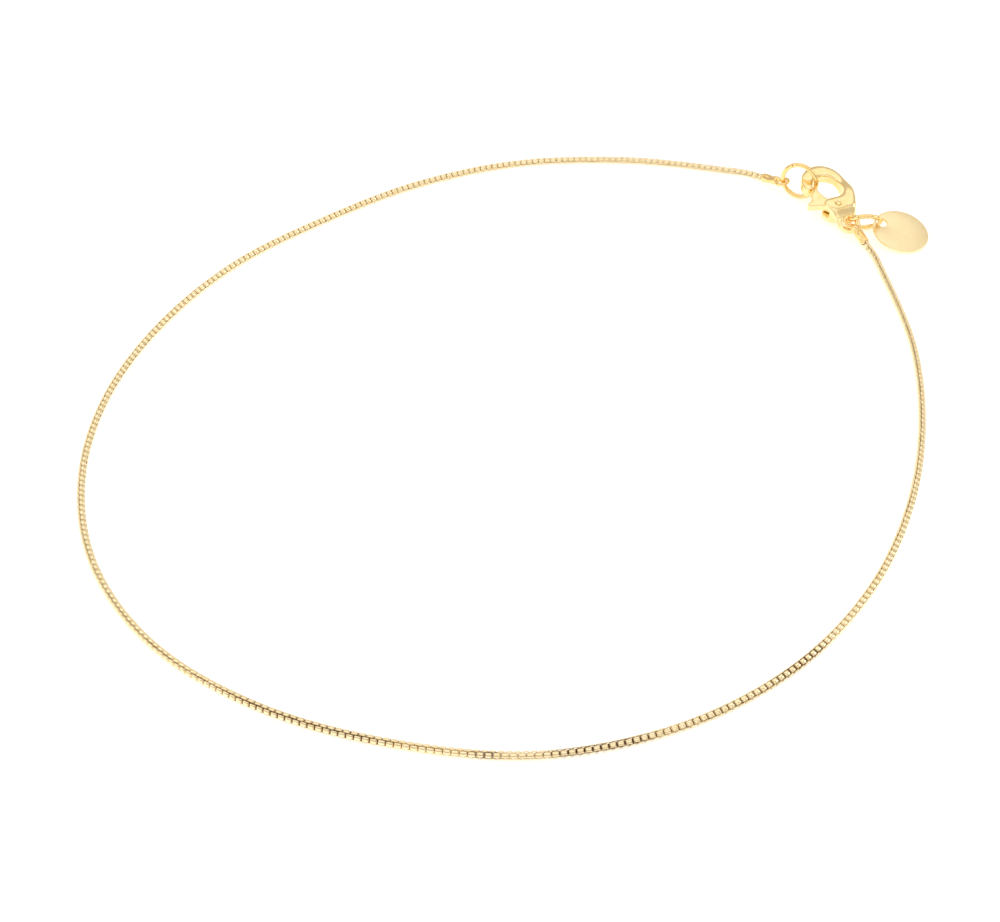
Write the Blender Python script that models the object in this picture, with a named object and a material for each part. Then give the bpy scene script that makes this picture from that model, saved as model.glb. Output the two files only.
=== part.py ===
"""A fine box chain necklace lying closed on a flat surface: chain, end caps, rings, lobster clasp and tag.

Lengths are in millimetres until the last step, where MM turns them into metres. The loop lies in the
XY plane with +Z up: the middle of the chain is at -Y, and the clasp and the tag are at +X, +Y.
"""

import math

import bmesh
import bpy
from mathutils import Matrix, Vector

MM = 0.001
GAP = 0.12                  # clearance left between two pieces that touch on the real necklace
HOME = Vector((0.5, 0.04, 0.0))     # puts the middle of the whole necklace on the Z axis

# Chain: a box chain, kept here as one tube of the chain's own width.
CHAIN_WIDTH = 1.12
CHAIN_POINTS = 80
CHAIN_TILT = math.radians(22.5)     # turns a facet of the eight-sided tube to face straight down
CHAIN_LEAD = 1.6                    # the chain leaves each end cap straight for this far
CHAIN_END_GAP = 0.36                # from the cap's mouth to the tube's end

# End cap: a short round sleeve soldered to a small eye.
CAP_RADIUS = 0.78
CAP_LENGTH = 3.6
CAP_EYE_RADIUS = 1.05       # to the middle of the eye's wire
CAP_EYE_WIRE = 0.3
CAP_SOLDER = 0.1            # how far the sleeve reaches into the eye's wire

# Rings of round wire; each radius runs to the middle of the wire.
CATCH_RING_RADIUS = 3.0
CLASP_RING_RADIUS = 2.65
RING_WIRE = 0.4

# Lobster clasp, in its own frame: u from the eye to the crown, v to the lever's side, w up.
CLASP_EYE = Vector((53.3, 46.7, 1.6))
CLASP_HEADING = math.radians(109)
CLASP_PITCH = math.radians(9)      # the crown is propped up by the ring in it
EYE_HOLE = 1.32
BELLY_HALF = 1.9            # half of the thickness at the belly
EYE_HALF = 0.47
HOOK_HALF = 1.05
BODY_BEVEL = 0.45
PIN_U, PIN_V = 3.6, 0.6
PIN_RADIUS = 0.4
PIN_CLEARANCE = 0.06
PIN_INSET = 0.05            # each end of the pin stops this far below the belly's face
LEVER_THICK = 1.3
LEVER_BEVEL = 0.2
LEVER_BOSS = 1.15           # radius of the lever's round foot about the pin
SLOT_CLEARANCE = 0.12
FOOT_CLEARANCE = 0.25

# Tag: a plain round disc with a hole near its rim.
TAG_RADIUS = 4.8
TAG_THICK = 0.5
TAG_BEVEL = 0.1
TAG_HOLE = 0.95
TAG_HOLE_OFFSET = 3.5
TAG_SLACK = 0.3             # how far the tag hangs out before its hole meets the ring

WIRE_SIDES = 10
RING_STEPS = 36
EYE_STEPS = 24
CYLINDER_SIDES = 20
HOLE_SIDES = 28
TAG_SIDES = 64
CUTTER_LENGTH = 6.0
SHARP_ANGLE = math.radians(35)

# The chain's route on the surface, from the right end cap round the front to the left end cap.
ROUTE = (
    (57.4, 33.9), (59.4, 15.2), (57.9, -3.5), (53.3, -21.7), (45.3, -38.6), (33.3, -53.0), (17.6, -63.1),
    (-0.6, -67.7), (-19.2, -65.9), (-36.9, -59.8), (-52.1, -48.9), (-62.5, -33.4), (-66.9, -15.2),
    (-65.7, 3.5), (-59.5, 21.2), (-49.3, 36.9), (-35.4, 49.5), (-19.9, 60.1), (-2.3, 66.6), (16.4, 67.6),
    (32.0, 64.9),
)

# Outline of the clasp's body, up its back to the crown and down to the tip of the hook.
BODY_OUTER = (
    (-2.0, 0.0), (-1.41, -1.41), (0.0, -2.0), (1.6, -1.9), (3.3, -2.6), (5.5, -3.4), (8.0, -3.7),
    (10.4, -3.55), (12.4, -2.9), (13.7, -1.6), (14.2, 0.0), (13.9, 1.6), (12.9, 3.0), (11.4, 3.85),
    (9.9, 4.05), (9.0, 3.85),
)
# The same outline back inside the hook, round the opening and past the lever's slot to the eye.
BODY_INNER = (
    (8.85, 3.3), (9.1, 2.72), (10.0, 2.4), (10.9, 1.75), (11.4, 0.8), (11.45, -0.3), (10.9, -1.3),
    (9.8, -2.0), (8.2, -2.2), (6.7, -1.85), (5.75, -1.0), (5.4, 0.2), (5.4, 1.5), (5.0, 2.5), (4.2, 2.85),
    (3.0, 2.45), (1.6, 1.85), (0.0, 2.0), (-1.41, 1.41),
)
SLOT_MOUTH = ((7.4, -0.9), (7.4, 5.2), (4.2, 5.2))
# Outline of the lever from the foot along its inner edge to the tip and back past the thumb tab.
LEVER_INNER = ((4.6, 0.05), (5.9, 0.95), (7.4, 1.75), (8.9, 2.0))
LEVER_TIP = ((9.35, 2.15), (9.3, 2.45), (8.8, 2.6))
LEVER_OUTER = (
    (8.4, 3.15), (7.6, 3.6), (6.7, 3.85), (6.3, 4.5), (5.9, 5.1), (5.35, 5.05), (5.25, 4.4), (5.1, 3.5),
    (4.4, 2.2),
)
# Places along the clasp where its plate is divided, so that its thickness can change smoothly.
THICKNESS_CUTS = (0.6, 1.3, 2.0, 2.7, 3.4, 6.2, 7.0, 7.8, 8.6, 9.4, 10.2)


def clear_scene():
    for old in list(bpy.data.objects):
        bpy.data.objects.remove(old, do_unlink=True)


def gold(name, colour, roughness):
    material = bpy.data.materials.new(name)
    material.use_nodes = True
    shader = material.node_tree.nodes["Principled BSDF"]
    shader.inputs["Base Color"].default_value = (*colour, 1.0)
    shader.inputs["Metallic"].default_value = 1.0
    shader.inputs["Roughness"].default_value = roughness
    return material


def add_object(name, builder, material):
    """Link a new object whose mesh is what the bmesh holds, in metres."""
    mesh = bpy.data.meshes.new(name)
    bmesh.ops.scale(builder, vec=(MM, MM, MM), verts=builder.verts)
    bmesh.ops.recalc_face_normals(builder, faces=builder.faces)
    builder.to_mesh(mesh)
    builder.free()
    mesh.shade_smooth()
    mesh.set_sharp_from_angle(angle=SHARP_ANGLE)
    obj = bpy.data.objects.new(name, mesh)
    bpy.context.collection.objects.link(obj)
    if material:
        mesh.materials.append(material)
    return obj


def place(obj, origin, x_axis, y_axis):
    """Put an object where its own X and Y lie along the two given directions."""
    x_axis = x_axis.normalized()
    z_axis = x_axis.cross(y_axis).normalized()
    turn = Matrix((x_axis, z_axis.cross(x_axis), z_axis)).transposed()
    obj.location = (origin + HOME) * MM
    obj.rotation_euler = turn.to_euler()


def apply_helper(obj, name, builder, operation, pose):
    """Cut a hidden helper solid from the object, or join it on. The pose is an origin and two axes."""
    helper = add_object(name, builder, None)
    helper.hide_render = True
    helper.display_type = "WIRE"
    place(helper, *pose)
    modifier = obj.modifiers.new(name, "BOOLEAN")
    modifier.operation = operation
    modifier.object = helper
    modifier.solver = "EXACT"


def torus(radius, wire, steps):
    """A ring of round wire in the XY plane: one circle of the wire spun about Z."""
    builder = bmesh.new()
    stand_up = Matrix.Rotation(math.radians(90), 4, "X")
    out = Matrix.Translation((radius, 0, 0))
    bmesh.ops.create_circle(builder, segments=WIRE_SIDES, radius=wire, matrix=out @ stand_up)
    profile = builder.verts[:] + builder.edges[:]
    bmesh.ops.spin(
        builder, geom=profile, cent=(0, 0, 0), axis=(0, 0, 1), angle=math.tau, steps=steps, use_merge=True,
    )
    return builder


def cylinder(radius, length, at=(0.0, 0.0), sides=CYLINDER_SIDES):
    """A solid cylinder along Z, centred on Z = 0."""
    builder = bmesh.new()
    bmesh.ops.create_cone(
        builder, cap_ends=True, segments=sides, radius1=radius, radius2=radius, depth=length,
        matrix=Matrix.Translation((*at, 0)),
    )
    return builder


def smooth_line(points, steps, closed=False):
    """Points of a Catmull-Rom curve through the given ones."""
    points = [Vector(point) for point in points]
    if closed:
        points = [points[-1], *points, points[0], points[1]]
    else:
        points = [2 * points[0] - points[1], *points, 2 * points[-1] - points[-2]]
    line = []
    for before, start, end, after in zip(points, points[1:], points[2:], points[3:]):
        for step in range(steps):
            t = step / steps
            bend = 2 * before - 5 * start + 4 * end - after
            twist = 3 * start - before - 3 * end + after
            line.append(0.5 * (2 * start + (end - before) * t + bend * t ** 2 + twist * t ** 3))
    if not closed:
        line.append(points[-2])
    return line


def evenly(line, count):
    """The line read again at an even spacing."""
    lengths = [0.0]
    for start, end in zip(line, line[1:]):
        lengths.append(lengths[-1] + (end - start).length)
    found = []
    index = 0
    for step in range(count):
        target = lengths[-1] * step / (count - 1)
        while index < len(line) - 2 and lengths[index + 1] < target:
            index += 1
        share = (target - lengths[index]) / (lengths[index + 1] - lengths[index])
        found.append(line[index].lerp(line[index + 1], min(share, 1.0)))
    return found


def circle_points(centre_u, centre_v, radius, start, stop, count):
    found = []
    for step in range(count):
        angle = start + (stop - start) * step / (count - 1)
        found.append((centre_u + radius * math.cos(angle), centre_v + radius * math.sin(angle)))
    return found


def plate(outline, thickness, bevel=0.0, segments=2):
    """A plate with the outline in XY, centred on Z = 0, its two rims rounded."""
    builder = bmesh.new()
    corners = [builder.verts.new((point[0], point[1], -thickness / 2)) for point in outline]
    raised = bmesh.ops.extrude_face_region(builder, geom=[builder.faces.new(corners)])
    top = [item for item in raised["geom"] if isinstance(item, bmesh.types.BMVert)]
    bmesh.ops.translate(builder, verts=top, vec=(0, 0, thickness))
    bmesh.ops.recalc_face_normals(builder, faces=builder.faces)
    if bevel:
        rims = [edge for edge in builder.edges if edge.verts[0].co.z == edge.verts[1].co.z]
        bmesh.ops.bevel(
            builder, geom=rims, offset=bevel, offset_type="OFFSET", segments=segments, profile=0.5,
            affect="EDGES", material=-1,
        )
    return builder


def ramp(value, low, high):
    """0 below low, 1 above high, and a smooth rise between."""
    t = min(max((value - low) / (high - low), 0.0), 1.0)
    return t * t * (3 - 2 * t)


def clasp_half(u):
    """Half of the clasp's thickness at u: thin eye, full belly, slimmer hook."""
    swell = EYE_HALF + (BELLY_HALF - EYE_HALF) * ramp(u, 1.0, 3.2)
    return swell - (BELLY_HALF - HOOK_HALF) * ramp(u, 6.2, 10.2)


CLASP_TURN = Matrix.Rotation(CLASP_HEADING, 3, "Z") @ Matrix.Rotation(-CLASP_PITCH, 3, "Y")
CLASP_U = CLASP_TURN @ Vector((1, 0, 0))
CLASP_V = CLASP_TURN @ Vector((0, 1, 0))
CLASP_POSE = (CLASP_EYE, CLASP_U, CLASP_V)
PIN_POSE = (CLASP_EYE + PIN_U * CLASP_U + PIN_V * CLASP_V, CLASP_U, CLASP_V)


def make_clasp_body(material):
    """A plate with the clasp's outline, swollen at the belly, with its eye, lever slot and pin bore cut."""
    builder = plate(smooth_line(BODY_OUTER + BODY_INNER, 3, closed=True), 2 * BELLY_HALF, BODY_BEVEL)
    for cut in THICKNESS_CUTS:
        every = builder.verts[:] + builder.edges[:] + builder.faces[:]
        bmesh.ops.bisect_plane(builder, geom=every, plane_co=(cut, 0, 0), plane_no=(1, 0, 0))
    for vert in builder.verts:
        vert.co.z *= clasp_half(vert.co.x) / BELLY_HALF
    body = add_object("clasp_body", builder, material)
    place(body, *CLASP_POSE)

    hole = cylinder(EYE_HOLE, CUTTER_LENGTH, sides=HOLE_SIDES)
    apply_helper(body, "eye_cutter", hole, "DIFFERENCE", CLASP_POSE)
    reach = LEVER_BOSS + FOOT_CLEARANCE
    foot = circle_points(PIN_U, PIN_V, reach, math.radians(130), math.radians(300), 12)
    slot = plate(foot + list(SLOT_MOUTH), LEVER_THICK + 2 * SLOT_CLEARANCE)
    apply_helper(body, "slot_cutter", slot, "DIFFERENCE", CLASP_POSE)
    bore = cylinder(PIN_RADIUS + PIN_CLEARANCE, CUTTER_LENGTH)
    apply_helper(body, "pin_cutter", bore, "DIFFERENCE", PIN_POSE)


def make_pin(material):
    pin = add_object("clasp_pin", cylinder(PIN_RADIUS, 2 * (BELLY_HALF - PIN_INSET)), material)
    place(pin, *PIN_POSE)


def make_lever(material):
    """A round foot on the pin, an arm to the hook's tip and a thumb tab. Its origin is on the pin's axis."""
    foot = circle_points(PIN_U, PIN_V, LEVER_BOSS, math.radians(130), math.radians(310), 10)
    edge = smooth_line(tuple(foot) + LEVER_INNER + LEVER_TIP + LEVER_OUTER, 2, closed=True)
    from_pin = [(point[0] - PIN_U, point[1] - PIN_V) for point in edge]
    lever = add_object("clasp_lever", plate(from_pin, LEVER_THICK, LEVER_BEVEL), material)
    place(lever, *PIN_POSE)
    bore = cylinder(PIN_RADIUS + PIN_CLEARANCE, CUTTER_LENGTH)
    apply_helper(lever, "lever_pin_cutter", bore, "DIFFERENCE", PIN_POSE)


class Ring:
    """A ring standing on the surface: across is its level direction, lean tips its top over."""

    def __init__(self, centre_x, centre_y, radius, across, lean):
        level_normal = Vector((-math.sin(across), math.cos(across), 0))
        self.radius = radius
        self.across = Vector((math.cos(across), math.sin(across), 0))
        self.up = math.cos(lean) * Vector((0, 0, 1)) + math.sin(lean) * level_normal
        self.centre = Vector((centre_x, centre_y, radius * math.cos(lean) + RING_WIRE))

    def at(self, angle):
        outward = math.cos(angle) * self.across + math.sin(angle) * self.up
        return self.centre + self.radius * outward

    def along(self, angle):
        return math.cos(angle) * self.up - math.sin(angle) * self.across

    def make(self, name, material):
        ring = add_object(name, torus(self.radius, RING_WIRE, RING_STEPS), material)
        place(ring, self.centre, self.across, self.up)


def make_cap(name, ring, angle, towards, material):
    """A cap whose eye is threaded on the ring at the angle; it lies towards the given direction."""
    direction = towards.normalized()
    wire_way = ring.along(angle)
    normal = (wire_way - wire_way.dot(direction) * direction).normalized()
    slack = CAP_EYE_RADIUS - CAP_EYE_WIRE - RING_WIRE - GAP
    eye = ring.at(angle) + slack * direction
    eye_to_sleeve = CAP_EYE_RADIUS - CAP_SOLDER
    middle = eye + (eye_to_sleeve + CAP_LENGTH / 2) * direction
    sleeve = add_object(name, cylinder(CAP_RADIUS, CAP_LENGTH), material)
    place(sleeve, middle, normal, normal.cross(direction))
    eye_pose = (eye, direction, normal.cross(direction))
    apply_helper(sleeve, name + "_eye", torus(CAP_EYE_RADIUS, CAP_EYE_WIRE, EYE_STEPS), "UNION", eye_pose)
    return eye + (eye_to_sleeve + CAP_LENGTH) * direction, direction


def make_chain(right, left, material):
    """The tube along the route, from one end cap to the other."""
    (right_end, right_way), (left_end, left_way) = right, left
    rest_z = CHAIN_WIDTH / 2 * math.cos(CHAIN_TILT)
    points = [right_end + CHAIN_END_GAP * right_way, right_end + CHAIN_LEAD * right_way]
    points += [Vector((x, y, rest_z)) for x, y in ROUTE]
    points += [left_end + CHAIN_LEAD * left_way, left_end + CHAIN_END_GAP * left_way]
    curve = bpy.data.curves.new("chain", "CURVE")
    curve.dimensions = "3D"
    curve.twist_mode = "Z_UP"
    curve.bevel_depth = CHAIN_WIDTH / 2 * MM
    curve.bevel_resolution = 2
    curve.use_fill_caps = True
    spline = curve.splines.new("POLY")
    spline.points.add(CHAIN_POINTS - 1)
    for target, point in zip(spline.points, evenly(smooth_line(points, 24), CHAIN_POINTS)):
        point.z = max(point.z, rest_z)
        target.co = (*((point + HOME) * MM), 1.0)
        target.tilt = CHAIN_TILT
    curve.materials.append(material)
    bpy.context.collection.objects.link(bpy.data.objects.new("chain", curve))


def make_tag(ring, angle, heading, drop, roll, material):
    """The disc threaded on the ring: it runs from its hole along heading, dropping to the surface."""
    run = Vector((math.cos(heading) * math.cos(drop), math.sin(heading) * math.cos(drop), -math.sin(drop)))
    level = Vector((-math.sin(heading), math.cos(heading), 0))
    side = math.cos(roll) * level + math.sin(roll) * run.cross(level)
    hole = ring.at(angle) + TAG_SLACK * run
    rim = circle_points(0, 0, TAG_RADIUS, 0, math.tau * (TAG_SIDES - 1) / TAG_SIDES, TAG_SIDES)
    tag = add_object("tag", plate(rim, TAG_THICK, TAG_BEVEL, 1), material)
    place(tag, hole + TAG_HOLE_OFFSET * run, run, side)
    cutter = cylinder(TAG_HOLE, CUTTER_LENGTH, sides=HOLE_SIDES)
    apply_helper(tag, "tag_hole_cutter", cutter, "DIFFERENCE", (hole, run, side))


def main():
    clear_scene()
    bpy.context.scene.unit_settings.scale_length = 1.0
    chain_gold = gold("chain_gold", (0.93, 0.72, 0.36), 0.22)
    clasp_gold = gold("clasp_gold", (0.95, 0.73, 0.37), 0.18)
    lever_gold = gold("lever_gold", (0.95, 0.73, 0.37), 0.2)
    ring_gold = gold("ring_gold", (0.94, 0.71, 0.35), 0.18)
    tag_gold = gold("tag_gold", (0.95, 0.78, 0.46), 0.3)

    make_clasp_body(clasp_gold)
    make_pin(clasp_gold)
    make_lever(lever_gold)
    catch_ring = Ring(45.9, 57.0, CATCH_RING_RADIUS, math.radians(155), math.radians(-4))
    catch_ring.make("catch_ring", ring_gold)
    clasp_ring = Ring(55.7, 46.0, CLASP_RING_RADIUS, math.radians(0), math.radians(-35))
    clasp_ring.make("clasp_ring", ring_gold)
    left_way = Vector((-0.62, 0.74, -0.3))
    left = make_cap("end_cap_left", catch_ring, math.radians(-20), left_way, ring_gold)
    right_way = Vector((0.47, -0.78, -0.4))
    right = make_cap("end_cap_right", clasp_ring, math.radians(165), right_way, ring_gold)
    make_tag(clasp_ring, math.radians(-8), math.radians(-25), math.radians(12), math.radians(5), tag_gold)
    make_chain(right, left, chain_gold)


main()
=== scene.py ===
import math
import random

import bmesh
import bpy
from mathutils import Matrix, Vector


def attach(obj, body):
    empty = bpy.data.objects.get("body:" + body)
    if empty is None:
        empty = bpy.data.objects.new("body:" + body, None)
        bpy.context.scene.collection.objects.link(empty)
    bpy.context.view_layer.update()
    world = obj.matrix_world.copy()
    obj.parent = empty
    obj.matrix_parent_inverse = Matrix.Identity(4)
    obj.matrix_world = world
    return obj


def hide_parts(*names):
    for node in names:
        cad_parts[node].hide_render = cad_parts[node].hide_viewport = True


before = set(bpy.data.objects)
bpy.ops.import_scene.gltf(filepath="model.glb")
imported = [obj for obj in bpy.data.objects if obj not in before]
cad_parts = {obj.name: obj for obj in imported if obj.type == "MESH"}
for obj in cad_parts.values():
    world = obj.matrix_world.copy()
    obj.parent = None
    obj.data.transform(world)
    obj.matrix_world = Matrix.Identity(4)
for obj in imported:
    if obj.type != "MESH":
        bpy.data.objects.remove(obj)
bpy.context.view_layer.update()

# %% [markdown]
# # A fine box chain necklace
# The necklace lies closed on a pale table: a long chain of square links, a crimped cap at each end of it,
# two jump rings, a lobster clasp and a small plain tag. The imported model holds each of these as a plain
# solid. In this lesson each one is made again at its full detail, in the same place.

MM = 0.001

# %% [markdown]
# ## The gold
# Every piece is brass under a thin plate of yellow gold. A metal has no colour of its own besides the tint
# of its reflections, so the colour goes in Base Color with Metallic at 1. Plating is never a perfect
# mirror: it thins a little here and there and takes fine scratches. Both come from noise, read in the
# object's own coordinates so that they stay on the metal. Inside a chain's links the colour is painted dark
# brown and the plate is made rougher: painted shade for the shadow between the links, along with some
# tarnish where no cloth can reach. An attribute stored on the mesh says where that is. One function makes
# every finish, because the pieces come out of the same bath and differ only in how they were polished,
# apart from the rings' and caps' deeper amber tint, which is painted shade.


# %% Mix a gold finish
CLOUD_SCALE = 900.0         # cloudy plating, about a millimetre across
SCRATCH_SCALE = 6000.0      # fine scratches
DULL_ROUGHNESS = 0.3        # added where the plate is dull


def plate_gold(name, pale, deep, smooth, rough, grain=(1.0, 1.0, 1.0), grain_depth=0.012, shade_and_tarnish=None):
    """Gold plate between two tints and two roughnesses, with fine scratches stretched by grain.

    Where the mesh's own mask attribute is 1, the plate is painted a dark brown tint instead and is rougher:
    painted shade inside the links, with some tarnish.
    """
    finish = bpy.data.materials.new(name)
    finish.use_nodes = True
    nodes, links = finish.node_tree.nodes, finish.node_tree.links
    shader = nodes["Principled BSDF"]
    shader.inputs["Metallic"].default_value = 1.0
    place = nodes.new("ShaderNodeTexCoord").outputs["Object"]

    clouds = nodes.new("ShaderNodeTexNoise")
    clouds.inputs["Scale"].default_value = CLOUD_SCALE
    clouds.inputs["Detail"].default_value = 4.0
    links.new(place, clouds.inputs["Vector"])
    tint = nodes.new("ShaderNodeValToRGB")
    tint.color_ramp.elements[0].position, tint.color_ramp.elements[1].position = 0.3, 0.7
    tint.color_ramp.elements[0].color = (*deep, 1.0)
    tint.color_ramp.elements[1].color = (*pale, 1.0)
    links.new(clouds.outputs["Fac"], tint.inputs["Fac"])
    colour = tint.outputs["Color"]

    stretch = nodes.new("ShaderNodeMapping")
    stretch.inputs["Scale"].default_value = grain
    links.new(place, stretch.inputs["Vector"])
    scratches = nodes.new("ShaderNodeTexNoise")
    scratches.inputs["Scale"].default_value = SCRATCH_SCALE
    scratches.inputs["Detail"].default_value = 3.0
    links.new(stretch.outputs["Vector"], scratches.inputs["Vector"])
    wear = nodes.new("ShaderNodeMapRange")
    wear.inputs["To Min"].default_value = smooth
    wear.inputs["To Max"].default_value = rough
    links.new(scratches.outputs["Fac"], wear.inputs["Value"])
    roughness = wear.outputs["Result"]

    # Where the mask is 1 the colour is painted dark brown: painted shade inside the chain's links, with some
    # tarnish.
    if shade_and_tarnish:
        shade_and_tarnish_mask = nodes.new("ShaderNodeAttribute")
        shade_and_tarnish_mask.attribute_name = "shade_and_tarnish"
        shade_and_tarnish_mix = nodes.new("ShaderNodeMix")
        shade_and_tarnish_mix.data_type = "RGBA"
        links.new(shade_and_tarnish_mask.outputs["Fac"], shade_and_tarnish_mix.inputs["Factor"])
        links.new(colour, shade_and_tarnish_mix.inputs["A"])
        shade_and_tarnish_mix.inputs["B"].default_value = (*shade_and_tarnish, 1.0)
        colour = shade_and_tarnish_mix.outputs["Result"]
        rougher = nodes.new("ShaderNodeMath")
        rougher.operation = "MULTIPLY_ADD"
        rougher.inputs[1].default_value = DULL_ROUGHNESS
        links.new(shade_and_tarnish_mask.outputs["Fac"], rougher.inputs[0])
        links.new(roughness, rougher.inputs[2])
        roughness = rougher.outputs["Value"]
    links.new(colour, shader.inputs["Base Color"])
    links.new(roughness, shader.inputs["Roughness"])

    relief = nodes.new("ShaderNodeBump")
    relief.inputs["Strength"].default_value = 0.5
    relief.inputs["Distance"].default_value = grain_depth * MM
    links.new(scratches.outputs["Fac"], relief.inputs["Height"])
    links.new(relief.outputs["Normal"], shader.inputs["Normal"])
    return finish


# The chain's dark brown tint is painted shade for the insides of its links, along with some tarnish.
chain_gold = plate_gold(
    "chain_gold_plate", (1.0, 0.87, 0.60), (0.98, 0.80, 0.48), 0.10, 0.26, shade_and_tarnish=(0.30, 0.18, 0.07),
)
clasp_gold = plate_gold("clasp_gold_plate", (1.0, 0.83, 0.48), (0.96, 0.74, 0.36), 0.12, 0.26)
lever_gold = plate_gold("lever_gold_plate", (1.0, 0.83, 0.48), (0.96, 0.74, 0.36), 0.10, 0.24)
# The rings' and caps' deeper amber tint is painted shade, for the amber light that bounces between them and
# the clasp.
ring_gold_shaded = plate_gold("ring_gold_painted_shade", (0.98, 0.75, 0.37), (0.92, 0.65, 0.27), 0.12, 0.24)
tag_gold = plate_gold(
    "tag_gold_satin", (0.98, 0.83, 0.53), (0.95, 0.79, 0.47), 0.30, 0.44,
    grain=(0.04, 1.0, 1.0), grain_depth=0.02,
)
finishes = (chain_gold, clasp_gold, lever_gold, ring_gold_shaded, tag_gold)
print("finishes:", [finish.name for finish in finishes])

# %% [markdown]
# ## One finishing step for every piece
# A piece is shaped in millimetres, because the numbers are easier to judge, and turned into metres at the
# end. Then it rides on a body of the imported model, stands for the plain solid, and names its finish.


# %% Finish a piece
def finish_piece(name, shape, finish, body, node, sharp=35.0):
    """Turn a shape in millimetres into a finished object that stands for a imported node."""
    bmesh.ops.scale(shape, vec=(MM, MM, MM), verts=shape.verts)
    bmesh.ops.recalc_face_normals(shape, faces=shape.faces)
    mesh = bpy.data.meshes.new(name)
    shape.to_mesh(mesh)
    shape.free()
    mesh.materials.append(finish)
    mesh.shade_smooth()
    mesh.set_sharp_from_angle(angle=math.radians(sharp))
    piece = bpy.data.objects.new(name, mesh)
    bpy.context.scene.collection.objects.link(piece)
    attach(piece, body)
    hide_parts(node)
    print(f"{name}: {len(mesh.polygons)} faces")
    return piece


def pose(origin, x_axis, y_axis):
    """The matrix that lays a shape's own X and Y along two directions, at a place in millimetres."""
    x_axis = Vector(x_axis).normalized()
    z_axis = x_axis.cross(Vector(y_axis)).normalized()
    turn = Matrix((x_axis, z_axis.cross(x_axis), z_axis)).transposed().to_4x4()
    return Matrix.Translation(Vector(origin)) @ turn


# %% [markdown]
# ## The chain's route
# The chain lies in a loose circle with a slight flattening where it was laid down. A few points along it are
# joined by a Catmull-Rom curve, which passes through every point, so the route can be read off the
# real thing. It starts inside one cap's mouth and ends inside the other's, and leaves each the way the
# cap points. Here it is drawn in plan, as seen from above. Its height comes later, because it depends
# on how the links lie.

# %% Draw the route
RIGHT_MOUTH, RIGHT_WAY = Vector((55.899, 41.898, 1.210)), Vector((0.47253, -0.78421, -0.40216))
LEFT_MOUTH, LEFT_WAY = Vector((40.883, 61.665, 0.951)), Vector((-0.61329, 0.73199, -0.29675))
CAP_DEPTH = 0.45            # how far inside a cap the route starts and ends
CURVE_STEPS = 40            # from one point of the route to the next
ROUTE = (
    (57.9, 33.94), (59.9, 15.24), (58.4, -3.46), (53.8, -21.66), (45.8, -38.56), (33.8, -52.96),
    (18.1, -63.06), (-0.1, -67.66), (-18.7, -65.86), (-36.4, -59.76), (-51.6, -48.86), (-62.0, -33.36),
    (-66.4, -15.16), (-65.2, 3.54), (-59.0, 21.24), (-48.8, 36.94), (-34.9, 49.54), (-19.4, 60.14),
    (-1.8, 66.64), (16.9, 67.64), (32.5, 64.94),
)


def smooth_line(points, steps):
    """A Catmull-Rom curve through the given points, apart from the first and the last, which aim it."""
    line = []
    for before, start, end, after in zip(points, points[1:], points[2:], points[3:]):
        for step in range(steps):
            t = step / steps
            bend = 2 * before - 5 * start + 4 * end - after
            twist = 3 * start - before - 3 * end + after
            line.append(0.5 * (2 * start + (end - before) * t + bend * t ** 2 + twist * t ** 3))
    return line + [points[-2]]


def aim(mouth, way, stop):
    """The point before a mouth that makes the curve leave it the way the cap points."""
    return stop - 2 * (stop - mouth.xy).length * way.xy.normalized()


stops = [Vector(place) for place in ROUTE]
stops = [aim(RIGHT_MOUTH, RIGHT_WAY, stops[0]), RIGHT_MOUTH.xy, *stops]
stops += [LEFT_MOUTH.xy, aim(LEFT_MOUTH, LEFT_WAY, stops[-1])]
plan = smooth_line(stops, CURVE_STEPS)
plan = [RIGHT_MOUTH.xy - CAP_DEPTH * RIGHT_WAY.xy, *plan, LEFT_MOUTH.xy - CAP_DEPTH * LEFT_WAY.xy]
print("the route in plan:", len(plan), "points")

# %% [markdown]
# ## One box link
# A box link is a flat strip bent into a square and closed. Its neighbour is turned a quarter about the chain
# and threads through it. The square starts as one face. Its corners are rounded, an inset leaves the
# strip's edge as a frame, the middle goes, and the frame is thickened to the strip's width. A small
# bevel rounds the outer rims, which is where the light catches. It ends with a few dozen faces,
# because it is repeated hundreds of times. The last lines mark which of its corners are inside it or
# at its ends, where the chain is painted darker: painted shade for the shadow inside the chain, along
# with some tarnish where a polishing cloth never gets.

# %% Bend one link
LINK_WIDTH = 1.12           # across the chain, outside to outside
LINK_LENGTH = 1.02
STRIP_WIDTH = 0.62
STRIP_THICK = 0.18
LINK_PITCH = 0.53           # from one link's middle to the next one's
CORNER = 0.24               # cut off each corner as it is rounded
RIM = 0.07                  # the small bevel on the outer rims
INSET_SIDES = 12            # three corners for each rounded corner of the square
OUTER_SKIN = 0.1            # anything this close to the outline is on the link's outside
HIDDEN_DEPTH = 0.09         # anything deeper than this is inside it

link = bmesh.new()
bmesh.ops.create_grid(link, x_segments=1, y_segments=1, size=0.5)
bmesh.ops.scale(link, vec=(LINK_LENGTH, LINK_WIDTH, 1), verts=link.verts)
bmesh.ops.bevel(
    link, geom=link.verts[:], offset=CORNER, offset_type="OFFSET", segments=2, profile=0.5,
    affect="VERTICES", material=-1,
)
bmesh.ops.inset_region(
    link, faces=link.faces[:], thickness=STRIP_THICK, use_boundary=True, use_even_offset=True,
)
middle = [face for face in link.faces if len(face.verts) == INSET_SIDES]
bmesh.ops.delete(link, geom=middle, context="FACES")
raised = bmesh.ops.extrude_face_region(link, geom=link.faces[:], use_keep_orig=True)["geom"]
lifted = [item for item in raised if isinstance(item, bmesh.types.BMVert)]
bmesh.ops.translate(link, verts=lifted, vec=(0, 0, STRIP_WIDTH))
bmesh.ops.translate(link, verts=link.verts, vec=(0, 0, -STRIP_WIDTH / 2))
bmesh.ops.recalc_face_normals(link, faces=link.faces)


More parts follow.
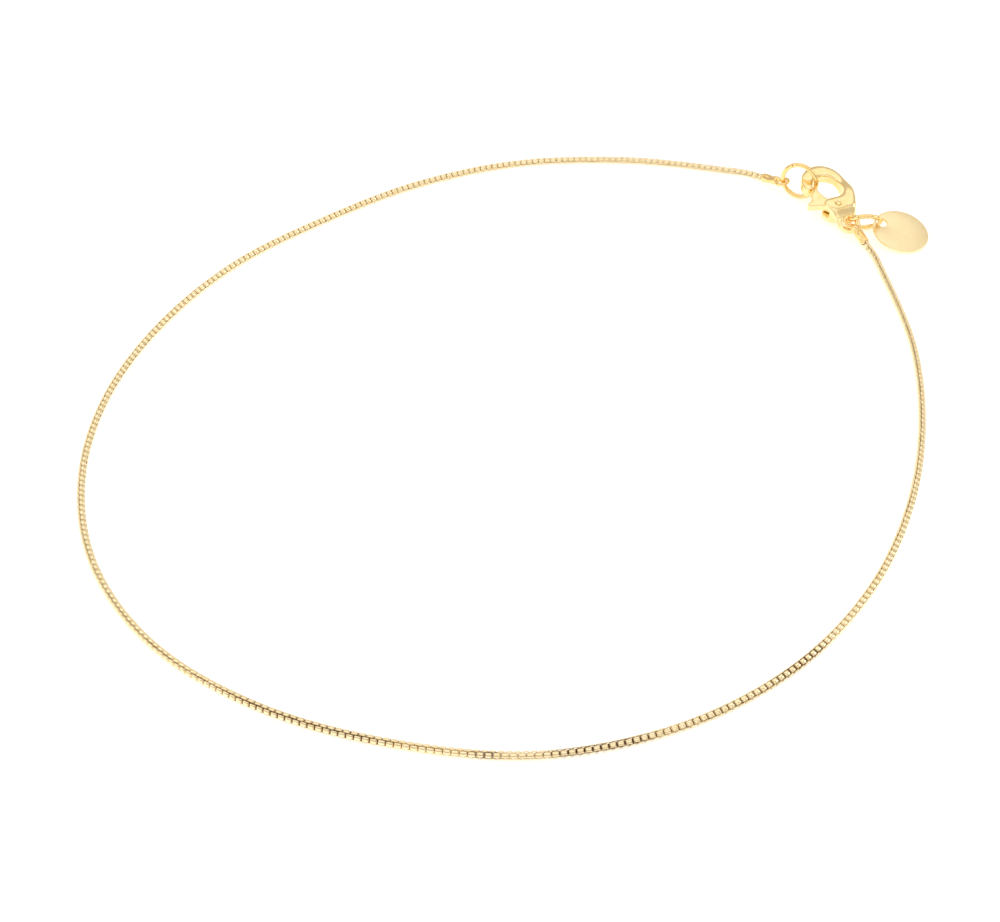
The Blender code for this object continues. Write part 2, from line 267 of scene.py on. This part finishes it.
def depth(vert):
    """How far the vertex is inside the link's outline."""
    return min(LINK_LENGTH / 2 - abs(vert.co.x), LINK_WIDTH / 2 - abs(vert.co.y))


rims = [
    edge for edge in link.edges
    if all(depth(vert) < OUTER_SKIN for vert in edge.verts) and edge.verts[0].co.z * edge.verts[1].co.z > 0
]
bmesh.ops.bevel(
    link, geom=rims, offset=RIM, offset_type="OFFSET", segments=1, profile=0.5, affect="EDGES", material=-1,
)
link.verts.index_update()
# Corners inside the link or at its ends are marked 1, and there the finish is painted dark brown: painted
# shade with some tarnish.
shade_and_tarnish_mask = []
for vert in link.verts:
    at_end = abs(vert.co.x) > LINK_LENGTH / 2 - OUTER_SKIN
    shade_and_tarnish_mask.append(1.0 if at_end or depth(vert) > HIDDEN_DEPTH else 0.0)
print("one link:", len(link.faces), "faces,", len(rims), "rims rounded")

# %% [markdown]
# ## How the chain turns, and where its insides are painted darker
# A chain laid down by hand keeps a slow twist, so it lies now on one side and now on another. The painted
# shade and tarnish inside its links are also darker on some stretches than on others. Both are charted at a
# few places along it. Between two of them the value goes evenly from one to the other.

# %% Chart the twist and the painted shade
# Each row is a distance along the chain and, there, the links' turn in degrees or how dark the painted shade
# and tarnish inside them are.
ROLLS = ((0, 62), (93, 72), (117, 66), (143, 42), (166, 20), (215, 18), (270, 34), (330, 40), (420, 55))
SHADE_AND_TARNISH = (
    (0, 0.12), (95, 0.2), (98, 0.95), (103, 0.95), (108, 0.55), (118, 0.45), (124, 0.35), (128, 0.95),
    (137, 0.95), (140, 0.2), (145, 0.2), (147, 0.95), (150, 0.15), (158, 0.15), (163, 0.6), (178, 0.6),
    (186, 0.2), (420, 0.12),
)


def between(table, value):
    """The table's value at a place between two of its rows."""
    for (low, first), (high, second) in zip(table, table[1:]):
        if value <= high:
            return first + (second - first) * (value - low) / (high - low)
    return table[-1][1]


print("the twist goes from", min(turn for _, turn in ROLLS), "to", max(turn for _, turn in ROLLS), "degrees")

# %% [markdown]
# ## How high the chain lies
# A square chain stands lower on one of its sides than on a corner, so its height follows its twist. Each cap
# holds the chain's end a little above the table and points down. From the mouth the chain keeps the
# cap's slope at first and then levels out along a parabola, so that every link bends only a little.


# %% Lay the route on the table
def measured(line):
    """How far along a line each of its points is."""
    reach = [0.0]
    for start, end in zip(line, line[1:]):
        reach.append(reach[-1] + (end - start).length)
    return reach


def resting_height(roll):
    """How high the chain's axis is when its links lie on the table, turned by roll."""
    across, strip = LINK_WIDTH / 2, STRIP_WIDTH / 2 - RIM / 2
    cosine, sine = abs(math.cos(roll)), abs(math.sin(roll))
    return max(across * cosine + strip * sine, across * sine + strip * cosine)


def settling(mouth, way, rest, gone):
    """How far above rest the chain still is, at this distance in plan from a cap's mouth."""
    rise, slope = mouth.z - rest, -way.z / way.xy.length
    gone -= CAP_DEPTH * way.xy.length
    if gone < 0:
        return rise - slope * gone
    return rise * max(0.0, 1 - gone * slope / (2 * rise)) ** 2


route = []
plan_reach = measured(plan)
for flat, gone in zip(plan, plan_reach):
    rest = resting_height(math.radians(between(ROLLS, gone)))
    from_right = settling(RIGHT_MOUTH, RIGHT_WAY, rest, gone)
    from_left = settling(LEFT_MOUTH, LEFT_WAY, rest, plan_reach[-1] - gone)
    route.append(Vector((*flat, rest + max(from_right, from_left))))
reach = measured(route)
print(f"the route is {reach[-1]:.0f} mm long")

# %% [markdown]
# ## The whole chain
# Each link sits half a length on from the last and a quarter turn round. The links also have a little play,
# so no two face quite the same way, and that is what makes a chain glitter. The spacing is fitted so
# that the end links are just inside the caps. All of the links are one mesh: an object for each would
# be slow and gains nothing.

# %% Lay the links
PLAY = random.Random(12)
ROLL_PLAY = 4.0             # degrees either way, about the chain
WAY_PLAY = 1.5              # degrees either way, across it
IN_CAP = 0.1                # from the route's ends to the middles of the end links
LOOK_AROUND = 0.4           # the chain's direction is taken over this distance each way


def along(distance):
    """The point of the route at this distance from its start."""
    index = min(max(int(distance / reach[-1] * (len(reach) - 1)), 0), len(reach) - 2)
    while index > 0 and reach[index] > distance:
        index -= 1
    while index < len(reach) - 2 and reach[index + 1] < distance:
        index += 1
    share = (distance - reach[index]) / (reach[index + 1] - reach[index])
    return route[index].lerp(route[index + 1], share)


template = bpy.data.meshes.new("one_link")
link.to_mesh(template)
link.free()
links = bmesh.new()
chain_length = reach[-1] - 2 * IN_CAP
count = round(chain_length / LINK_PITCH) + 1
shade_and_tarnish_values = []
for number in range(count):
    distance = IN_CAP + chain_length * number / (count - 1)
    here = along(distance)
    way = (along(distance + LOOK_AROUND) - along(distance - LOOK_AROUND)).normalized()
    outward = Vector((0, 0, 1)).cross(way).normalized()
    roll = math.radians(between(ROLLS, distance) + 90 * (number % 2) + PLAY.uniform(-ROLL_PLAY, ROLL_PLAY))
    facing = math.cos(roll) * outward + math.sin(roll) * way.cross(outward)
    way = (way + math.radians(PLAY.uniform(-WAY_PLAY, WAY_PLAY)) * facing).normalized()
    old = len(links.verts)
    links.from_mesh(template)
    links.verts.ensure_lookup_table()
    bmesh.ops.transform(links, matrix=pose(here, way, facing.cross(way)), verts=links.verts[old:])
    # The chart deepens each link's painted shade and tarnish on some stretches.
    shade_and_tarnish_values += [between(SHADE_AND_TARNISH, distance) * value for value in shade_and_tarnish_mask]
bpy.data.meshes.remove(template)
box_links = finish_piece("box_links", links, chain_gold, "necklace", "chain", sharp=50)
# The values are stored as the attribute that paints the links' insides darker: painted shade with some
# tarnish.
box_links.data.attributes.new("shade_and_tarnish", "FLOAT", "POINT").data.foreach_set("value", shade_and_tarnish_values)
print(count, "links,", round(chain_length / (count - 1), 3), "mm apart")

# %% [markdown]
# ## The jump rings
# A jump ring is round wire wound once round a rod and cut. The cut stays open by a hair, so it shows.
# Spinning a circle of wire almost the whole way leaves the two cut faces, and filling their edges
# closes them.


# %% Wind the two rings
WIRE_RADIUS = 0.4
WIRE_SIDES = 16
CUT_DEGREES = 1.6
BURR = 0.03                 # worn off the edges of the cut


def jump_ring(name, node, radius, cut_at, where):
    """A cut ring round its own Z, with the cut at this angle in degrees."""
    ring = bmesh.new()
    stand = Matrix.Translation((radius, 0, 0)) @ Matrix.Rotation(math.radians(90), 4, "X")
    bmesh.ops.create_circle(ring, segments=WIRE_SIDES, radius=WIRE_RADIUS, matrix=stand, cap_ends=False)
    bmesh.ops.spin(
        ring, geom=ring.verts[:] + ring.edges[:], cent=(0, 0, 0), axis=(0, 0, 1),
        angle=math.radians(360 - CUT_DEGREES), steps=88, use_merge=False,
    )
    open_edges = [edge for edge in ring.edges if edge.is_boundary]
    ends = bmesh.ops.holes_fill(ring, edges=open_edges, sides=WIRE_SIDES)["faces"]
    burr = {edge for face in ends for edge in face.edges}
    bmesh.ops.recalc_face_normals(ring, faces=ring.faces)
    bmesh.ops.bevel(
        ring, geom=list(burr), offset=BURR, offset_type="OFFSET", segments=2, profile=0.5, affect="EDGES",
        material=-1,
    )
    turn = Matrix.Rotation(math.radians(cut_at + CUT_DEGREES / 2), 4, "Z")
    bmesh.ops.transform(ring, matrix=where @ turn, verts=ring.verts)
    finish_piece(name, ring, ring_gold_shaded, "necklace", node, sharp=40)


CATCH_POSE = pose((46.4, 57.04, 3.39269), (-0.90631, 0.42262, 0.0), (0.02948, 0.06322, 0.99756))
CLASP_RING_POSE = pose((56.2, 46.04, 2.57075), (1.0, 0.0, 0.0), (0.0, -0.57358, 0.81915))
jump_ring("catch_jump_ring", "catch_ring", 3.0, 62.0, CATCH_POSE)
jump_ring("clasp_jump_ring", "clasp_ring", 2.65, 118.0, CLASP_RING_POSE)

# %% [markdown]
# ## The end caps
# The chain's last link is pushed into a short sleeve, which is squeezed on it, and a small eye is soldered to
# the sleeve's closed end. Anything round about one line is quickest as a profile turned like a pot on a
# wheel. The squeeze is made afterwards, by pressing the sleeve's middle flat from two sides. The solder
# is a small cone of metal that the eye stands in.

# %% Turn the caps
EYE_RADIUS = 1.05
EYE_WIRE = 0.3
EYE_TO_SLEEVE = 0.95
SQUEEZE_AT = 1.75           # along the sleeve
SQUEEZE_REACH = 0.62
FLATTER, WIDER = 0.24, 0.07     # what the squeeze takes off one way and adds the other
WELD = 0.002                # vertices closer than this become one
SLEEVE_PROFILE = (
    (0.0, -0.12), (0.22, -0.10), (0.38, 0.02), (0.6, 0.10), (0.74, 0.22), (0.78, 0.38), (0.78, 0.9),
    (0.78, 1.35), (0.78, 1.8), (0.78, 2.25), (0.78, 2.75), (0.78, 3.05), (0.74, 3.12), (0.74, 3.2),
    (0.78, 3.27), (0.78, 3.48), (0.75, 3.57), (0.7, 3.6), (0.65, 3.56), (0.63, 3.44), (0.63, 2.6), (0.0, 2.5),
)


def end_cap(name, node, where):
    """A cap along its own X, with its eye's middle at the origin."""
    cap = bmesh.new()
    outline = [cap.verts.new((EYE_TO_SLEEVE + along_x, radius, 0)) for radius, along_x in SLEEVE_PROFILE]
    edges = [cap.edges.new(pair) for pair in zip(outline, outline[1:])]
    bmesh.ops.spin(
        cap, geom=outline + edges, cent=(0, 0, 0), axis=(1, 0, 0), angle=math.tau, steps=28, use_merge=True,
    )
    bmesh.ops.remove_doubles(cap, verts=cap.verts, dist=WELD)
    for vert in cap.verts:
        squeeze = math.exp(-((vert.co.x - EYE_TO_SLEEVE - SQUEEZE_AT) / SQUEEZE_REACH) ** 2)
        vert.co.z *= 1 - FLATTER * squeeze
        vert.co.y *= 1 + WIDER * squeeze
    stand = Matrix.Translation((EYE_RADIUS, 0, 0)) @ Matrix.Rotation(math.radians(90), 4, "X")
    eye = bmesh.ops.create_circle(cap, segments=14, radius=EYE_WIRE, matrix=stand)["verts"]
    loop = eye + list({edge for vert in eye for edge in vert.link_edges})
    bmesh.ops.spin(cap, geom=loop, cent=(0, 0, 0), axis=(0, 0, 1), angle=math.tau, steps=44, use_merge=True)
    bmesh.ops.transform(cap, matrix=where, verts=cap.verts)
    finish_piece(name, cap, ring_gold_shaded, "necklace", node, sharp=45)


LEFT_CAP_POSE = pose((43.67375, 58.33489, 2.30088), LEFT_WAY, (-0.74743, -0.65931, -0.08162))
RIGHT_CAP_POSE = pose((53.74899, 45.46624, 3.04009), RIGHT_WAY, (-0.86838, -0.49219, -0.06058))
end_cap("left_crimp_cap", "end_cap_left", LEFT_CAP_POSE)
end_cap("right_crimp_cap", "end_cap_right", RIGHT_CAP_POSE)

# %% [markdown]
# ## The tag
# A plain disc stamped from sheet, with a hole punched near its rim. Two circles, one for the rim and one for
# the hole, are bridged into a flat washer whose hole is off centre. It is then raised to its
# thickness, and its four edges are rounded, as tumbling rounds them.

# %% Stamp the tag
TAG_RADIUS, TAG_THICK = 4.8, 0.5
TAG_HOLE, TAG_HOLE_X = 0.95, -3.5
TAG_EDGE = 0.13
TAG_POSE = pose((62.19292, 44.68068, 1.47858), (0.8865, -0.41338, -0.20791), (0.43743, 0.8952, 0.08525))

tag = bmesh.new()
bmesh.ops.create_circle(tag, segments=96, radius=TAG_RADIUS)
bmesh.ops.create_circle(tag, segments=96, radius=TAG_HOLE, matrix=Matrix.Translation((TAG_HOLE_X, 0, 0)))
bmesh.ops.bridge_loops(tag, edges=tag.edges[:])
raised = bmesh.ops.extrude_face_region(tag, geom=tag.faces[:], use_keep_orig=True)["geom"]
lifted = [item for item in raised if isinstance(item, bmesh.types.BMVert)]
bmesh.ops.translate(tag, verts=lifted, vec=(0, 0, TAG_THICK))
bmesh.ops.translate(tag, verts=tag.verts, vec=(0, 0, -TAG_THICK / 2))
bmesh.ops.recalc_face_normals(tag, faces=tag.faces)
edges = [edge for edge in tag.edges if edge.calc_face_angle(0) > math.radians(60)]
bmesh.ops.bevel(
    tag, geom=edges, offset=TAG_EDGE, offset_type="OFFSET", segments=3, profile=0.5, affect="EDGES",
    material=-1,
)
bmesh.ops.transform(tag, matrix=TAG_POSE, verts=tag.verts)
finish_piece("round_tag", tag, tag_gold, "necklace", "tag", sharp=30)

# %% [markdown]
# ## The clasp's casting
# The clasp's body is cast and then tumbled in a barrel of small stones until every edge is soft. The imported
# solid already has the right outline, slot and holes, but its edges are crisp. So a copy of it is
# rebuilt from small even cells, and those are relaxed: a few rounds melt an edge without
# changing the shape, just as tumbling does. The lever is treated the same way.


# %% Tumble a casting
def tumbled(name, node, cell, rounds, finish, body):
    """A soft-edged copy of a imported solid, rebuilt from cells of this size in millimetres."""
    shape = bmesh.new()
    shape.from_mesh(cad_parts[node].data)
    bmesh.ops.remove_doubles(shape, verts=shape.verts, dist=1e-7)
    mesh = bpy.data.meshes.new(name)
    shape.to_mesh(mesh)
    shape.free()
    piece = bpy.data.objects.new(name, mesh)
    bpy.context.scene.collection.objects.link(piece)
    remesh = piece.modifiers.new("cells", "REMESH")
    remesh.mode = "VOXEL"
    remesh.voxel_size = cell * MM
    relax = piece.modifiers.new("relax", "SMOOTH")
    relax.factor = 0.5
    relax.iterations = rounds
    shown = piece.evaluated_get(bpy.context.evaluated_depsgraph_get())
    soft = bpy.data.meshes.new_from_object(shown)
    piece.modifiers.clear()
    piece.data = soft
    soft.name = name
    soft.materials.clear()
    soft.materials.append(finish)
    soft.shade_smooth()
    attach(piece, body)
    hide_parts(node)
    print(f"{name}: {len(soft.polygons)} faces")
    return piece


casting = tumbled("clasp_casting", "clasp_body", 0.10, 12, clasp_gold, "necklace")

# %% [markdown]
# ## The casting's rounded faces
# The real casting swells like a pebble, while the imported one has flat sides. More relaxing of everything
# would also shrink the hook. So here only the height across the clasp's plate is relaxed, in the
# clasp's own frame: the outline stays, and the flat faces turn into low domes that roll the light.
# The eye and the slot's walls are left out, because the rings and the lever need their room.

# %% Round the casting's faces
CLASP_POSE = pose((53.8, 46.74, 1.6), (-0.32156, 0.93388, 0.15643), (-0.94552, -0.32557, 0.0))
EYE_END = 2.4               # along the clasp, from its eye
SLOT_END = 7.7
SLOT_HALF = 0.9             # anything nearer the plate's middle than this is a wall of the slot


def domed(piece, chosen, rounds):
    """Relax the chosen vertices, but only across the clasp's plate, so that its outline stays."""
    shape = bmesh.new()
    shape.from_mesh(piece.data)
    own_frame = CLASP_POSE.inverted() @ Matrix.Scale(1 / MM, 4)
    bmesh.ops.transform(shape, matrix=own_frame, verts=shape.verts)
    moved = [vert for vert in shape.verts if chosen(*vert.co)]
    for _ in range(rounds):
        bmesh.ops.smooth_vert(
            shape, verts=moved, factor=0.5, use_axis_x=False, use_axis_y=False, use_axis_z=True,
        )
    bmesh.ops.transform(shape, matrix=own_frame.inverted(), verts=shape.verts)
    shape.to_mesh(piece.data)
    shape.free()
    print(f"{piece.name}: {len(moved)} vertices relaxed")


def away_from_slot(u, v, w):
    """Whether a place in the clasp's frame is clear of the eye and of the slot's walls."""
    return u > SLOT_END or (u > EYE_END and abs(w) > SLOT_HALF)


domed(casting, away_from_slot, 110)

# %% [markdown]
# ## The lever and its pin
# The lever closes the hook from inside and is pushed back with a thumbnail. It is a smaller casting, so its
# cells are finer, and it rides on its own body because it is the one piece that turns. The pin
# that it turns on is a rivet with a low dome at each end, turned from a profile.

# %% Make the lever
lever = tumbled("thumb_lever", "clasp_lever", 0.055, 8, lever_gold, "lever")
domed(lever, lambda u, v, w: True, 30)

# %% [markdown]
# ## The pin's profile
# Half of the profile is written down, from the middle of the upper dome to the pin's waist. The other half
# is the same, upside down.

# %% Turn the pin
PIN_POSE = pose((52.07508, 49.90662, 2.16316), (-0.32156, 0.93388, 0.15643), (-0.94552, -0.32557, 0.0))
PIN_PROFILE = ((0.0, 1.93), (0.2, 1.91), (0.34, 1.85), (0.4, 1.75), (0.4, 0.9), (0.4, 0.0))

pin = bmesh.new()
half = [pin.verts.new((radius, 0, height)) for radius, height in PIN_PROFILE]
half += [pin.verts.new((radius, 0, -height)) for radius, height in PIN_PROFILE[-2::-1]]
edges = [pin.edges.new(pair) for pair in zip(half, half[1:])]
bmesh.ops.spin(
    pin, geom=half + edges, cent=(0, 0, 0), axis=(0, 0, 1), angle=math.tau, steps=32, use_merge=True,
)
bmesh.ops.remove_doubles(pin, verts=pin.verts, dist=WELD)
bmesh.ops.transform(pin, matrix=PIN_POSE, verts=pin.verts)
finish_piece("clasp_rivet", pin, clasp_gold, "necklace", "clasp_pin")

# %% [markdown]
# ## Table, light and camera
# Gold looks like whatever is round it. Here that is a white table, a pale warm room and a few large soft
# panels, so the metal stays light and only its hollows, which mirror each other, go deep amber. The
# table glows a little by itself, which keeps it plain white up to the piece. The standard view
# transform is chosen because it leaves that white alone. The camera looks down on the front.

# %% Set the table
floor = bmesh.new()
bmesh.ops.create_grid(floor, x_segments=1, y_segments=1, size=3.0)
floor_mesh = bpy.data.meshes.new("table_top")
floor.to_mesh(floor_mesh)
floor.free()
white = bpy.data.materials.new("table_white")
white.use_nodes = True
paint = white.node_tree.nodes["Principled BSDF"].inputs
paint["Base Color"].default_value = (0.93, 0.93, 0.93, 1.0)
paint["Roughness"].default_value = 0.6
paint["Emission Color"].default_value = (1.0, 1.0, 1.0, 1.0)
paint["Emission Strength"].default_value = 0.45
floor_mesh.materials.append(white)
table_top = bpy.data.objects.new("table_top", floor_mesh)
bpy.context.scene.collection.objects.link(table_top)

world = bpy.data.worlds.new("studio")
world.use_nodes = True
world.node_tree.nodes["Background"].inputs["Color"].default_value = (1.0, 0.92, 0.80, 1.0)
world.node_tree.nodes["Background"].inputs["Strength"].default_value = 0.66
bpy.context.scene.world = world
bpy.context.scene.view_settings.view_transform = "Standard"
print("table and room: ready")


# %% Hang the light panels
def light_panel(name, at, width, height, power):
    """A soft panel at a place in millimetres, facing the necklace."""
    panel = bpy.data.lights.new(name, "AREA")
    panel.shape = "RECTANGLE"
    panel.size, panel.size_y = width * MM, height * MM
    panel.energy = power
    lamp = bpy.data.objects.new(name, panel)
    lamp.location = Vector(at) * MM
    lamp.rotation_euler = (-Vector(at)).to_track_quat("-Z", "Y").to_euler()
    bpy.context.scene.collection.objects.link(lamp)


light_panel("panel_above", (0, 230, 470), 760, 560, 0.72)
light_panel("panel_front", (0, -330, 470), 960, 420, 0.6)
light_panel("panel_left", (-480, -60, 300), 260, 300, 0.3)
light_panel("panel_right", (480, 40, 260), 200, 260, 0.27)

# %% Place the camera
CAMERA_AT = Vector((-5.2, -231.26, 198.05))
CAMERA_TILT = math.radians(48)
lens = bpy.data.cameras.new("camera")
lens.lens = 72.0
lens.sensor_width = 36.0
lens.clip_start = 0.01
camera = bpy.data.objects.new("camera", lens)
camera.location = CAMERA_AT * MM
camera.rotation_euler = (CAMERA_TILT, 0, 0)
bpy.context.scene.collection.objects.link(camera)
bpy.context.scene.camera = camera
print("the camera looks down at", round(90 - math.degrees(CAMERA_TILT)), "degrees")
